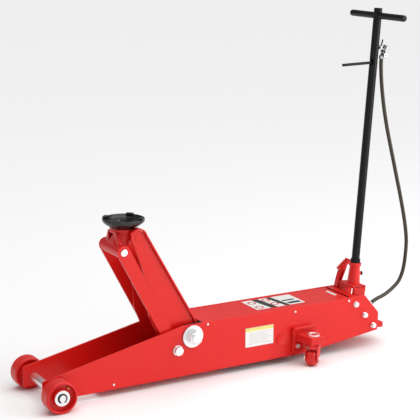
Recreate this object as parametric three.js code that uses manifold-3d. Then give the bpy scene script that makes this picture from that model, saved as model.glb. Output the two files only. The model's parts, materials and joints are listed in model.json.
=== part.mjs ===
// Long-chassis air and hydraulic floor jack, shown with its lift arm raised.
// Millimetres, +Z up. Inside the jack group X runs rearward from the front axle,
// -Y is the operator's left, and the floor is z = 0.
import * as THREE from 'three';
import { mergeVertices } from 'three/addons/utils/BufferGeometryUtils.js';
import Module from 'manifold-3d';

const wasm = await Module();
wasm.setup();

// Driving dimensions
const gap = 0.3; // running and seating clearance
const wheelRadius = 58.5;
const wheelWidth = 56;
const wheelOuterFace = 172.6;
const axleRadius = 12.5;
const plateOuter = 92.7; // outer face of each side plate
const plateThick = 6;
const plateInner = plateOuter - plateThick;
const frameTop = 219;
const frameFront = -41;
const frameRear = 1400;
const tailEnd = 1452.5;
const originX = 707; // half way between the front wheels' tread and the air valve
const pivot = { x: 554, z: 174 }; // main lift pivot
const anchor = { x: 492, z: 129 }; // lower pivot of the levelling bars
const armLength = 442;
const armRise = 62.2; // arm angle above level in the modelled pose, degrees
const leverRadius = 95;
const leverForward = 37; // lever angle ahead of straight down, degrees
const armPlateOuter = 66;
const armPlateInner = 56;
const barInner = 69.7;
const barOuter = 79.7;
const saddleX = 323;
const saddleTop = 631;
const saddleRadius = 77;
const ramHeight = 88;
const casterAxis = { x: 1051, y: 152 };
const casterRadius = 30;
const casterTrail = 14;
const casterYaw = 41; // degrees each caster is turned from straight ahead
const handlePivot = { x: 1333, z: 139 };
const handleLean = 4.3; // degrees rearward
const pedalPivot = { x: 1288, z: 189 };
const blockBolt = { x: 1375, z: 90 };
const crossTube = { x: 943.5, z: 100, radius: 24.2 };
const tubeRadius = 16;
const tubeBottom = 208; // distances along the handle axis from its pivot
const tubeTop = 1200;
const barDistance = 1171;
const leverDistance = 990;
const hookDistance = 1048;

const rad = THREE.MathUtils.degToRad;
const jack = new THREE.Group();
jack.position.x = -originX;

// Finishes
function finish(color, roughness, metalness) {
  return new THREE.MeshStandardMaterial({ color, roughness, metalness });
}
const redPaint = finish(0xd8201c, 0.3, 0);
const castRed = finish(0xc41c18, 0.45, 0);
const blackPowder = finish(0x1b1b1c, 0.45, 0);
const zinc = finish(0xc9ccce, 0.32, 0.9);
const darkSteel = finish(0x4a4c4f, 0.45, 0.8);
const chrome = finish(0xdcdee0, 0.15, 1);
const rubber = finish(0x3b362e, 0.6, 0);

// Solid helpers
function solid(geometry) {
  const bare = geometry.index ? geometry.toNonIndexed() : geometry.clone();
  bare.deleteAttribute('normal');
  bare.deleteAttribute('uv');
  const merged = mergeVertices(bare, 1e-4);
  return new wasm.Manifold(new wasm.Mesh({
    numProp: 3,
    vertProperties: new Float32Array(merged.attributes.position.array),
    triVerts: new Uint32Array(merged.index.array),
  }));
}

function toGeometry(body) {
  const { vertProperties, triVerts } = body.getMesh();
  const indexed = new THREE.BufferGeometry();
  indexed.setAttribute('position', new THREE.BufferAttribute(vertProperties, 3));
  indexed.setIndex(new THREE.BufferAttribute(triVerts, 1));
  const flat = indexed.toNonIndexed();
  flat.computeVertexNormals();
  return flat;
}

function join(first, ...others) {
  return others.reduce((sum, piece) => sum.add(piece), first);
}

function cut(first, ...others) {
  return others.reduce((rest, piece) => rest.subtract(piece), first);
}

function place(name, body, material, parent = jack) {
  const mesh = new THREE.Mesh(toGeometry(body), material);
  mesh.name = name;
  parent.add(mesh);
  return mesh;
}

function box(x0, x1, y0, y1, z0, z1) {
  const geometry = new THREE.BoxGeometry(x1 - x0, y1 - y0, z1 - z0);
  return solid(geometry.translate((x0 + x1) / 2, (y0 + y1) / 2, (z0 + z1) / 2));
}

function rodY(x, z, radius, y0, y1, sides = 20) {
  const geometry = new THREE.CylinderGeometry(radius, radius, y1 - y0, sides);
  return solid(geometry.translate(x, (y0 + y1) / 2, z));
}

function rodX(y, z, radius, x0, x1, sides = 20) {
  const geometry = new THREE.CylinderGeometry(radius, radius, x1 - x0, sides).rotateZ(Math.PI / 2);
  return solid(geometry.translate((x0 + x1) / 2, y, z));
}

function rodZ(x, y, radius, z0, z1, sides = 20, topRadius = radius) {
  const geometry = new THREE.CylinderGeometry(topRadius, radius, z1 - z0, sides).rotateX(Math.PI / 2);
  return solid(geometry.translate(x, y, (z0 + z1) / 2));
}

function tubeY(x, z, outer, inner, y0, y1, sides = 24) {
  return cut(rodY(x, z, outer, y0, y1, sides), rodY(x, z, inner, y0 - 1, y1 + 1, sides));
}

// Profile points are [radius, height along the axis]; the axis is Y.
function lathe(points, sides = 32) {
  return solid(new THREE.LatheGeometry(points.map(([r, h]) => new THREE.Vector2(r, h)), sides));
}

function moved(body, x, y, z) {
  return body.translate([x, y, z]);
}

function turned(body, x, y, z) {
  return body.rotate([x, y, z]);
}

// A plate drawn in X and Z and thickened from y0 to y1.
function plateXZ(shape, y0, y1, curveSegments = 10) {
  const outline = Array.isArray(shape)
    ? new THREE.Shape(shape.map(([x, z]) => new THREE.Vector2(x, z)))
    : shape;
  const depth = y1 - y0;
  const geometry = new THREE.ExtrudeGeometry(outline, { depth, bevelEnabled: false, curveSegments });
  return solid(geometry.rotateX(Math.PI / 2).translate(0, y1, 0));
}

// The convex outline around a set of circles, as a plate from y0 to y1.
function lobePlate(circles, y0, y1) {
  return wasm.Manifold.hull(circles.map(([x, z, r]) => rodY(x, z, r, y0, y1)));
}

const hands = [['left', -1], ['right', 1]];
const between = (side, inner, outer) => (side < 0 ? [-outer, -inner] : [inner, outer]);

// Arm coordinates: u runs from the pivot to the arm's top pin, w points forward.
const rise = rad(armRise);
const along = { x: -Math.cos(rise), z: Math.sin(rise) };
const ahead = { x: -Math.sin(rise), z: -Math.cos(rise) };
const armPoint = (u, w) => [pivot.x + along.x * u + ahead.x * w, pivot.z + along.z * u + ahead.z * w];
const [armTopX, armTopZ] = armPoint(armLength, 0);
const barTop = { x: armTopX + anchor.x - pivot.x, z: armTopZ + anchor.z - pivot.z };
const lever = {
  x: pivot.x - leverRadius * Math.sin(rad(leverForward)),
  z: pivot.z - leverRadius * Math.cos(rad(leverForward)),
};

const shaftRadius = 20;
const barPinRadius = 13;
const topPinRadius = 12;
const leverPinRadius = 12;
const linkBoltRadius = 9;
const rearBoltRadius = 6.5;
const handleBoltRadius = 7;

// Chassis side plates, each with a welded axle boss
const plateOutline = [
  [frameFront, 23.5], [1060, 26.5], [1396, 68], [frameRear, 84], [frameRear, 140.4],
  [1333, frameTop], [515, frameTop], [frameFront, 99.7],
];
for (const [hand, side] of hands) {
  const [y0, y1] = between(side, plateInner, plateOuter);
  const [boss0, boss1] = between(side, plateOuter - 0.5, wheelOuterFace - wheelWidth - 2);
  const holes = [
    [0, wheelRadius, axleRadius], [pivot.x, pivot.z, shaftRadius], [anchor.x, anchor.z, linkBoltRadius],
    [crossTube.x, crossTube.z, crossTube.radius], [pedalPivot.x, pedalPivot.z, rearBoltRadius],
    [handlePivot.x, handlePivot.z, handleBoltRadius], [blockBolt.x, blockBolt.z, rearBoltRadius],
  ].map(([x, z, r]) => rodY(x, z, r + gap, side < 0 ? -150 : 60, side < 0 ? -60 : 150));
  const plate = join(plateXZ(plateOutline, y0, y1), rodY(0, wheelRadius, 21, boss0, boss1));
  place(`side_plate_${hand}`, cut(plate, ...holes), redPaint);
}

// Top cover and rear deck: folded sheet with flanges inside the plates
const sheet = 3;
const coverTop = frameTop - 1;
const sheetHalf = plateInner - gap;
function foldedSheet(x0, x1, depth) {
  const hollow = sheetHalf - sheet;
  const inner = box(x0 - 1, x1 + 1, -hollow, hollow, coverTop - depth - 1, coverTop - sheet);
  return cut(box(x0, x1, -sheetHalf, sheetHalf, coverTop - depth, coverTop), inner);
}
place('top_cover', foldedSheet(601, 1259, 20), redPaint);
place('rear_deck', cut(foldedSheet(1262 + gap, 1300, 16), box(1260, 1270, -78, 78, 200, 230)), redPaint);
place('belly_plate', box(180, 700, -sheetHalf, sheetHalf, 26, 31), redPaint);

// Front axle, wheels and their washers
const axleEnd = wheelOuterFace + 4;
const axleSleeve = rodY(0, wheelRadius, 16, gap - plateInner, plateInner - gap);
place('front_axle', join(rodY(0, wheelRadius, axleRadius, -axleEnd, axleEnd, 20), axleSleeve), zinc);
const wheelHub = 30;
const rimInner = 49.6;
const wheelProfile = [
  [axleRadius + gap, 1], [wheelHub, 1], [wheelHub, 12], [rimInner, 12], [rimInner, 0], [54, 0],
  [wheelRadius, 4], [wheelRadius, wheelWidth - 4], [54, wheelWidth], [rimInner, wheelWidth],
  [rimInner, wheelWidth - 20], [wheelHub, wheelWidth - 20], [wheelHub, wheelWidth - 4],
  [axleRadius + gap, wheelWidth - 4], [axleRadius + gap, 1],
];
for (const [hand, side] of hands) {
  const tread = lathe(wheelProfile, 32);
  const facing = side < 0 ? turned(tread, 180, 0, 0) : tread;
  const wheel = moved(facing, 0, side * (wheelOuterFace - wheelWidth), wheelRadius);
  place(`front_wheel_${hand}`, wheel, castRed);
  const washerFace = wheelOuterFace - 4 + gap;
  const [w0, w1] = between(side, washerFace, washerFace + 2.5);
  place(`axle_washer_${hand}`, tubeY(0, wheelRadius, 28, axleRadius + gap, w0, w1, 20), zinc);
}

// Main pivot shaft with a washer and hex nut at each end
const shaftWasher = 7;
const shaftNut = 25;
const shaftEnd = plateOuter + shaftWasher + shaftNut + 5;
place('main_shaft', rodY(pivot.x, pivot.z, shaftRadius, -shaftEnd, shaftEnd, 24), zinc);
for (const [hand, side] of hands) {
  const [w0, w1] = between(side, plateOuter + gap, plateOuter + shaftWasher);
  const washer = tubeY(pivot.x, pivot.z, 41.9, shaftRadius + gap, w0, w1, 32);
  place(`shaft_washer_${hand}`, washer, zinc);
  const [n0, n1] = between(side, plateOuter + shaftWasher + gap, plateOuter + shaftWasher + shaftNut);
  const thread = rodY(pivot.x, pivot.z, shaftRadius + gap, n0 - 1, n1 + 1, 24);
  place(`shaft_nut_${hand}`, cut(rodY(pivot.x, pivot.z, 28, n0, n1, 6), thread), zinc);
}

// Levelling bars with their anchor bolts
for (const [hand, side] of hands) {
  const [b0, b1] = between(side, barInner, barOuter);
  const bar = lobePlate([[anchor.x, anchor.z, 25], [barTop.x, barTop.z, 25]], b0, b1);
  const bores = [
    rodY(anchor.x, anchor.z, linkBoltRadius + gap, b0 - 1, b1 + 1),
    rodY(barTop.x, barTop.z, barPinRadius + gap, b0 - 1, b1 + 1),
  ];
  place(`levelling_bar_${hand}`, cut(bar, ...bores), redPaint);
  const [s0, s1] = between(side, barInner + 1, plateOuter + 1);
  const [h0, h1] = between(side, plateOuter + gap, plateOuter + 17);
  const head = rodY(anchor.x, anchor.z, 18, h0, h1, 6);
  const bolt = join(rodY(anchor.x, anchor.z, linkBoltRadius, s0, s1), head);
  place(`bar_anchor_bolt_${hand}`, bolt, zinc);
}

// Lift arm: two deep plates, a hub tube, a lipped cover, the top pin and the ram lever pin
const armEdge = new THREE.Shape();
{
  const point = (u, w) => new THREE.Vector2(...armPoint(u, w));
  const leverU = (lever.x - pivot.x) * along.x + (lever.z - pivot.z) * along.z;
  const leverW = (lever.x - pivot.x) * ahead.x + (lever.z - pivot.z) * ahead.z;
  const endRadius = 27;
  const edge = [point(0, -41), point(armLength - 8, -endRadius + 1)];
  for (let step = 0; step <= 8; step += 1) {
    const a = -Math.PI / 2 + (step / 8) * Math.PI;
    edge.push(point(armLength + endRadius * Math.cos(a), endRadius * Math.sin(a)));
  }
  edge.push(point(400, 30), point(320, 42), point(235, 68), point(160, 102), point(20, 112));
  for (let step = 0; step <= 5; step += 1) {
    const a = Math.PI / 2 + 0.25 + (step / 5) * 2;
    edge.push(point(leverU + 20 * Math.cos(a), leverW + 20 * Math.sin(a)));
  }
  edge.push(point(-42, 20));
  for (let step = 1; step <= 4; step += 1) {
    const a = Math.PI + (step / 5) * (Math.PI / 2);
    edge.push(point(42 * Math.cos(a), 42 * Math.sin(a)));
  }
  armEdge.setFromPoints(edge);
}
for (const [hand, side] of hands) {
  const [y0, y1] = between(side, armPlateInner, armPlateOuter);
  const [c0, c1] = between(side, armPlateOuter - 0.5, plateInner - 0.8);
  const plate = join(plateXZ(armEdge, y0, y1), rodY(pivot.x, pivot.z, 30, c0, c1, 20));
  const bores = [
    [pivot.x, pivot.z, shaftRadius], [armTopX, armTopZ, topPinRadius], [lever.x, lever.z, leverPinRadius],
  ].map(([x, z, r]) => rodY(x, z, r + gap, side < 0 ? -90 : 40, side < 0 ? -40 : 90, 20));
  place(`arm_plate_${hand}`, cut(plate, ...bores), redPaint);
}
{
  const lipOut = 75;
  const thick = 6;
  const near = 1.6;
  const rim = (offset) => {
    const points = [armPoint(0, -41 - offset), armPoint(armLength - 8, -26 - offset)];
    for (let step = 1; step <= 7; step += 1) {
      const a = -Math.PI / 2 + (step / 7) * rad(128);
      points.push(armPoint(armLength + (27 + offset) * Math.cos(a), (27 + offset) * Math.sin(a)));
    }
    return points;
  };
  const sheetOutline = [...rim(near + thick), ...rim(near).reverse()];
  const window = plateXZ([
    armPoint(330, -60), armPoint(armLength + 60, -60),
    armPoint(armLength + 60, 60), armPoint(armLength - 60, 60),
    armPoint(330, -10),
  ], -54, 54);
  const noseOutline = [
    armPoint(armLength - 2, 4), armPoint(armLength + 60, 4),
    armPoint(armLength + 60, 60), armPoint(armLength - 2, 60),
  ];
  const noseTrims = hands.map(([, side]) => (
    plateXZ(noseOutline, ...between(side, barInner - 0.7, lipOut + 1))
  ));
  place('arm_cover', cut(plateXZ(sheetOutline, -lipOut, lipOut), window, ...noseTrims), redPaint);
}
const hubEnd = armPlateInner - gap;
place('arm_hub', tubeY(pivot.x, pivot.z, 34, shaftRadius + gap, -hubEnd, hubEnd, 24), redPaint);
const pinEnd = armPlateOuter + 1.5;
place('arm_top_pin', rodY(armTopX, armTopZ, topPinRadius, -pinEnd, pinEnd), redPaint);
place('lever_pin', rodY(lever.x, lever.z, leverPinRadius, -armPlateOuter, armPlateOuter), darkSteel);
place('lever_roller', tubeY(lever.x, lever.z, 17, leverPinRadius + gap, -30, 30), darkSteel);

// Saddle yoke: flange and post between a rear hub on the top pin and a wide front hub
const flangeTop = 594;
{
  const rearHub = rodY(armTopX, armTopZ, 22, -54, 54, 20);
  const frontHub = rodY(barTop.x, barTop.z, 24, -barInner + gap, barInner - gap, 32);
  const flange = rodZ(saddleX, 0, 50, flangeTop - 11, flangeTop, 32);
  const post = wasm.Manifold.hull([
    rodZ(saddleX, 0, 43, flangeTop - 14, flangeTop - 10, 28), rodY(armTopX, armTopZ, 21, -34, 34, 20),
  ]);
  const shin = wasm.Manifold.hull([
    rodZ(saddleX, 0, 43, flangeTop - 14, flangeTop - 10, 28), rodY(barTop.x, barTop.z, 21, -34, 34, 20),
  ]);
  const gusset = wasm.Manifold.hull([
    box(saddleX - 46, saddleX - 36, -34, 34, flangeTop - 12, flangeTop - 10),
    rodY(barTop.x, barTop.z, 10, -60, 60),
  ]);
  const windowCorners = [[33, -16], [-13, -18], [20, -48]];
  const pocket = wasm.Manifold.hull(windowCorners.flatMap(([y, z]) => [
    [saddleX - 70, y, flangeTop + z], [saddleX - 26, y, flangeTop + z],
  ]));
  const bores = [
    rodY(armTopX, armTopZ, topPinRadius + gap, -90, 90),
    rodY(barTop.x, barTop.z, barPinRadius + gap, -90, 90, 20),
    rodZ(saddleX, 0, 12 + gap, flangeTop - 15, flangeTop + 5),
  ];
  const casting = join(rearHub, frontHub, flange, post, shin, gusset);
  place('saddle_yoke', cut(casting, pocket, ...bores), redPaint);
}
place('levelling_pin', rodY(barTop.x, barTop.z, barPinRadius, -barOuter - 3, barOuter + 3, 20), zinc);

// Saddle: dished casting with four lugs, turning on a spigot in the yoke
{
  const base = flangeTop + gap;
  const dish = lathe([
    [0, base - 14], [12, base - 14], [12, base],
    [51, base], [51, base + 5], [60, base + 8], [70, base + 14],
    [saddleRadius, base + 24], [saddleRadius, saddleTop - 5], [saddleRadius - 8, saddleTop - 5],
    [saddleRadius - 12, base + 26], [0, base + 17],
  ], 32);
  const lug = cut(
    rodY(0, 0, saddleRadius, saddleTop - 6, saddleTop, 32),
    rodY(0, 0, saddleRadius - 14, saddleTop - 10, saddleTop + 1, 32),
  );
  const lugs = [45, 135, 225, 315].map((turn) => {
    const wedge = turned(box(0, 100, saddleTop - 8, saddleTop + 1, -11, 11), 0, turn, 0);
    return lug.intersect(wedge);
  });
  place('saddle', moved(turned(join(dish, ...lugs), 90, 0, 0), saddleX, 0, 0), blackPowder);
}

// Hydraulic cylinder, ram and cross tube
{
  const barrel = lathe([
    [17 + gap, 0], [40, 0], [40, 260], [0, 260], [0, 245], [30 + gap, 245], [30 + gap, 20],
    [17 + gap, 20], [17 + gap, 0],
  ], 24);
  const lying = moved(turned(barrel, 0, 0, -90), 660, 0, ramHeight);
  const eye = lobePlate([[crossTube.x, crossTube.z, 38], [900, ramHeight, 36]], -38, 38);
  const bore = rodY(crossTube.x, crossTube.z, crossTube.radius + gap, -60, 60, 32);
  place('hydraulic_cylinder', cut(join(lying, cut(eye, rodX(0, ramHeight, 38, 800, 906))), bore), castRed);
  const tubeEnd = plateOuter + 2;
  place('cross_tube', rodY(crossTube.x, crossTube.z, crossTube.radius, -tubeEnd, tubeEnd, 32), redPaint);
  const face = lever.x + 17 + 2;
  const head = box(face, face + 24, -34, 34, ramHeight - 30, ramHeight + 30);
  const rod = rodX(0, ramHeight, 17, face + 20, 787, 20);
  place('ram', join(head, rod, rodX(0, ramHeight, 30, 765, 787, 32)), darkSteel);
}

// Oil reservoir, air motor and pump block inside the rear of the chassis
{
  const tank = wasm.Manifold.hull([
    rodX(-48, 70, 18, 990, 1130), rodX(48, 70, 18, 990, 1130),
    rodX(-48, 172, 18, 990, 1130), rodX(48, 172, 18, 990, 1130),
  ]);
  place('oil_reservoir', join(tank, rodZ(1020, 0, 14, 188, 200)), castRed);
  const motorCap = rodX(-32, 150, 40, 1225, 1235, 32);
  const inlet = rodX(-32, 150, 15, 1131, 1141);
  place('air_motor', join(rodX(-32, 150, 34, 1140, 1225, 32), motorCap, inlet), darkSteel);
  const base = plateXZ([[1236, 56], [1250, 57], [1394, 74], [1394, 104], [1236, 104]], -84, 84);
  const tongue = plateXZ([[1262, 90], [1354, 90], [1354, 160], [1312, 206], [1262, 206]], -34, 34);
  const openings = [
    box(1292, 1322, -40, 40, 100, 172), rodZ(1308, 0, 9 + gap, 70, 101),
    rodY(pedalPivot.x, pedalPivot.z, rearBoltRadius + gap, -90, 90),
    rodY(handlePivot.x, handlePivot.z, handleBoltRadius + gap, -90, 90),
    rodY(blockBolt.x, blockBolt.z, rearBoltRadius + gap, -90, 90),
  ];
  place('pump_block', cut(join(base, tongue), ...openings), castRed);
}

// Through bolts at the rear with hex heads and nuts
for (const [name, at, radius] of [
  ['pedal_bolt', pedalPivot, rearBoltRadius], ['handle_bolt', handlePivot, handleBoltRadius],
  ['block_bolt', blockBolt, rearBoltRadius],
]) {
  const [inner, outer] = [plateOuter + gap, plateOuter + 11];
  const heads = hands.map(([, side]) => rodY(at.x, at.z, 10.5, ...between(side, inner, outer), 6));
  place(name, join(rodY(at.x, at.z, radius, -outer + 1, outer - 1), ...heads), zinc);
}

// Cast tail bar across the rear end
place('tail_bar', wasm.Manifold.hull([
  box(frameRear - 5.7, frameRear + 2, -60, 60, 66, 88), box(tailEnd - 6, tailEnd - 5, -60, 60, 62, 84),
  box(tailEnd - 1, tailEnd, -56, 56, 68, 82),
]), castRed);

// Swivel casters on brackets bolted outside the side plates
for (const [hand, side] of hands) {
  const at = (inner, outer) => between(side, inner, outer);
  const [f0, f1] = at(plateOuter + gap, plateOuter + 12);
  const flange = plateXZ([[988, 40], [1040, 40], [1100, 84], [1100, 128], [1076, 142], [988, 140]], f0, f1);
  const rib = box(990, 1078, ...at(plateOuter + 2, plateOuter + 20), 132, 141);
  const bossBlock = wasm.Manifold.hull([
    box(1021, 1081, ...at(122, 183), 86, 116),
    box(1000, 1090, ...at(plateOuter + 4, plateOuter + 8), 86, 116),
  ]);
  const stemHole = rodZ(casterAxis.x, side * casterAxis.y, 14 + gap, 60, 140, 20);
  place(`caster_bracket_${hand}`, cut(join(flange, rib, bossBlock), stemHole), castRed);

  const yaw = rad(casterYaw);
  const caster = new THREE.Group();
  caster.position.set(casterAxis.x, side * casterAxis.y, 0);
  caster.rotation.z = -side * yaw;
  jack.add(caster);
  const stem = rodZ(0, 0, 14, 78, 117.4, 20);
  const crown = rodZ(0, 0, 27, 76, 86 - gap, 32);
  const legs = [-1, 1].map((leg) => wasm.Manifold.hull([
    rodY(-casterTrail, casterRadius, 18, ...between(leg, 19.5, 25)),
    box(-26, 24, ...between(leg, 19.5, 25), 76, 81),
  ]));
  const top = box(-26, 24, -25, 25, 76, 81);
  const axleHole = rodY(-casterTrail, casterRadius, 6 + gap, -40, 40, 20);
  place(`caster_fork_${hand}`, cut(join(stem, crown, top, ...legs), axleHole), castRed, caster);
  const tread = lathe([
    [6 + gap, -17], [casterRadius - 3, -17], [casterRadius, -13],
    [casterRadius, 13], [casterRadius - 3, 17], [6 + gap, 17], [6 + gap, -17],
  ], 28);
  place(`caster_wheel_${hand}`, moved(tread, -casterTrail, 0, casterRadius), castRed, caster);
  const axle = join(
    rodY(-casterTrail, casterRadius, 6, -30, 30, 20), rodY(-casterTrail, casterRadius, 9, 25 + gap, 31, 6),
    rodY(-casterTrail, casterRadius, 9, -31, -25 - gap, 6),
  );
  place(`caster_axle_${hand}`, axle, zinc, caster);
  const ring = cut(rodZ(0, 0, 25, 116 + gap, 121, 32), rodZ(0, 0, 14 + gap, 110, 125, 20));
  place(`caster_ring_${hand}`, ring, zinc, caster);
}

// Handle group: origin on its pivot, +Z along the handle
const handle = new THREE.Group();
handle.position.set(handlePivot.x, 0, handlePivot.z);
handle.rotation.y = rad(handleLean);
jack.add(handle);
{
  const cheek = ([y0, y1]) => wasm.Manifold.hull([
    rodY(0, 0, 19, y0, y1, 20), rodY(-24, -14, 11, y0, y1), box(-30, 26, y0, y1, 92, 108),
  ]);
  const arch = box(-36, 26, -50, 50, 97, 108);
  const neck = rodZ(0, 0, 26, 106, 190, 24, 20);
  const collar = rodZ(0, 0, 24.5, 178, 192, 24);
  const boss = rodX(0, 146, 7.5, 15, 29, 20);
  const pumpPin = rodY(-24.2, -14, 6, -40, 40, 20);
  const bores = [
    rodY(0, 0, handleBoltRadius + gap, -60, -36), rodY(0, 0, handleBoltRadius + gap, 36, 60),
    rodZ(0, 0, 16 + gap, 125, 200, 20),
  ];
  const socket = cut(join(cheek([-50, -38]), cheek([38, 50]), arch, neck, collar, boss, pumpPin), ...bores);
  place('handle_socket', socket, redPaint, handle);

  const tubeWall = cut(rodZ(0, 0, tubeRadius, 126, tubeTop, 24), rodZ(0, 0, 13, 120, tubeTop - 8, 20));
  const ferrule = rodZ(0, 0, 19.3, 192 + gap, tubeBottom, 24);
  const slot = box(-40, 0, -13.5, 13.5, leverDistance - 12, leverDistance + 12);
  const barHole = rodY(0, barDistance, 12.5 + gap, -40, 40);
  const tube = cut(join(tubeWall, cut(ferrule, rodZ(0, 0, 15, 180, 220, 20))), slot, barHole);
  place('handle_tube', tube, blackPowder, handle);
  const grip = lathe([
    [0, -168], [9.5, -168], [12.5, -165], [12.5, 165], [9.5, 168], [0, 168],
  ], 20);
  place('t_bar', moved(grip, 0, 0, barDistance), blackPowder, handle);

  const rod = rodZ(0, 0, 7, 130, leverDistance + 6, 20);
  const finger = moved(turned(rodX(0, 0, 5.5, -146, 4, 16), 0, -5.5, 0), 0, 0, leverDistance);
  place('release_rod', join(rod, finger), blackPowder, handle);

  const hookPath = new THREE.CatmullRomCurve3([
    [tubeRadius + gap, 0], [tubeRadius + 8, 1], [tubeRadius + 14, 6],
    [tubeRadius + 16.5, 16], [tubeRadius + 19, 32],
  ].map(([x, z]) => new THREE.Vector3(x, 0, hookDistance + z)));
  const circle = new THREE.Shape().absarc(0, 0, 2.6, 0, Math.PI * 2);
  const wire = new THREE.ExtrudeGeometry(circle, { steps: 12, curveSegments: 5, extrudePath: hookPath });
  place('hose_hook', solid(wire), blackPowder, handle);
}

// Hand air valve hung beside the handle on its hook, its axis leaning back
const valve = new THREE.Group();
valve.position.set(1438.9, -8, 1140);
const valveLean = 26;
valve.rotation.y = rad(valveLean);
jack.add(valve);
{
  const body = lathe([
    [0, 6], [8, 6], [11, 9], [11, 24], [14, 27], [14, 33], [9, 35], [0, 35],
  ], 20);
  const port = rodY(0, 16, 10, -20, 2, 20);
  const nut = turned(rodZ(0, 0, 9.5, 0, 12, 6), 0, -valveLean, 0);
  const eye = cut(rodX(8, 37.8, 9.5, -24.5, -21), rodX(8, 37.8, 6, -30, -10));
  const tab = box(-24, -9, 3, 11, 27.2, 31.3);
  const upright = turned(body, 90, 0, 0);
  const portBore = rodY(0, 16, 3.5, -25, -6, 16);
  const stemBore = rodZ(0, 0, 5 + gap, 20, 40, 16);
  place('air_valve', cut(join(upright, port, nut, tab, eye), portBore, stemBore), chrome, valve);
  const cap = lathe([[0, 38], [13, 38], [13, 40], [12, 41], [12, 52], [10, 55], [0, 55]], 20);
  place('valve_button', join(turned(cap, 90, 0, 0), rodZ(0, 0, 5, 24, 40, 16)), chrome, valve);
}

// Foot pedal: hub on the upper bolt, curved channel arm and a serrated pad
{
  const pedalY0 = 57;
  const pedalY1 = 82;
  const hub = rodY(pedalPivot.x, pedalPivot.z, 14, pedalY0, pedalY1, 24);
  const armShape = new THREE.Shape();
  armShape.moveTo(pedalPivot.x + 13, pedalPivot.z + 5);
  armShape.quadraticCurveTo(1304, 246, 1326, 292);
  armShape.lineTo(1350, 300);
  armShape.quadraticCurveTo(1327, 246, pedalPivot.x + 11, pedalPivot.z - 7);
  armShape.closePath();
  const armBar = plateXZ(armShape, pedalY0, pedalY1, 8);
  const hollow = new THREE.Shape();
  hollow.moveTo(1305, 226);
  hollow.quadraticCurveTo(1310, 252, 1331, 286);
  hollow.lineTo(1339, 289);
  hollow.quadraticCurveTo(1323, 252, 1313, 226);
  hollow.closePath();
  const channel = cut(armBar, plateXZ(hollow, pedalY0 - 1, pedalY1 - 5, 8));
  const teeth = [];
  const padLength = 60;
  for (let tooth = 0; tooth < 6; tooth += 1) {
    const start = tooth * (padLength / 6);
    teeth.push([start, 8], [start + 3, 12], [start + 7, 12]);
  }
  const padOutline = [[0, 0], [padLength, 0], [padLength, 8], ...teeth.reverse()];
  const pad = turned(plateXZ(padOutline, pedalY0 - 2, pedalY1 + 3), 0, -38, 0);
  const hole = rodY(pedalPivot.x, pedalPivot.z, rearBoltRadius + gap, 40, 90);
  place('foot_pedal', cut(join(hub, channel, moved(pad, 1322, 0, 284)), hole), redPaint);
}

// Pump piston: rod in the block with a slotted head around the handle's pump pin
{
  const pinX = -24.2 * Math.cos(rad(handleLean)) - 14 * Math.sin(rad(handleLean));
  const pinZ = 24.2 * Math.sin(rad(handleLean)) - 14 * Math.cos(rad(handleLean));
  const slotMid = handlePivot.z + pinZ;
  const headMid = handlePivot.x + pinX - 0.2;
  const head = box(headMid - 13, headMid + 13, -20, 20, slotMid - 12, slotMid + 12);
  const slot = box(headMid - 9.5, headMid + 9.5, -30, 30, slotMid - 7.2, slotMid + 7.2);
  place('pump_piston', cut(join(head, rodZ(1308, 0, 9, 74, slotMid - 10)), slot), darkSteel);
}

// Air hose fitting on the pump block and the hose up to the hand valve
const hosePoints = [
  [1383, -64.6, 173.2], [1398, -63, 180.3], [1415, -61, 186], [1437, -58.5, 191], [1463, -54, 197.5],
  [1490, -49, 208.5], [1514, -45, 221.5], [1535, -41, 236.5], [1552, -37, 259.5], [1564, -34, 289],
  [1573, -31, 333], [1578, -28, 399], [1571, -25, 466], [1558, -22, 533],
  [1542, -20, 600], [1525, -18, 666], [1508, -16, 733], [1491, -14, 799],
  [1475, -12, 864], [1461, -11, 928],
  [1450, -10, 992], [1442, -9, 1055], [1438.5, -8, 1112], [1438.8, -8, 1139.4],
].map((point) => new THREE.Vector3(...point));
{
  const base = rodZ(1372, -66, 10, 104 + gap, 112, 6);
  const stem = rodZ(1372, -66, 7, 108, 170, 20);
  const outlet = new THREE.Vector3().subVectors(hosePoints[1], hosePoints[0]).normalize();
  const tilt = THREE.MathUtils.radToDeg(Math.asin(outlet.z));
  const spigot = turned(rodX(0, 0, 8, -2, 10, 20), 0, -tilt, 6);
  place('hose_fitting', join(base, stem, moved(spigot, 1372, -66, 168)), zinc);
  const hosePath = new THREE.CatmullRomCurve3(hosePoints);
  const section = new THREE.Shape().absarc(0, 0, 7.5, 0, Math.PI * 2);
  const hose = new THREE.ExtrudeGeometry(section, { steps: 40, curveSegments: 4, extrudePath: hosePath });
  place('air_hose', solid(hose), rubber);
}

export default jack;
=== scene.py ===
import json
import math

import bmesh
import bpy
from mathutils import Matrix, Vector


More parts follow.
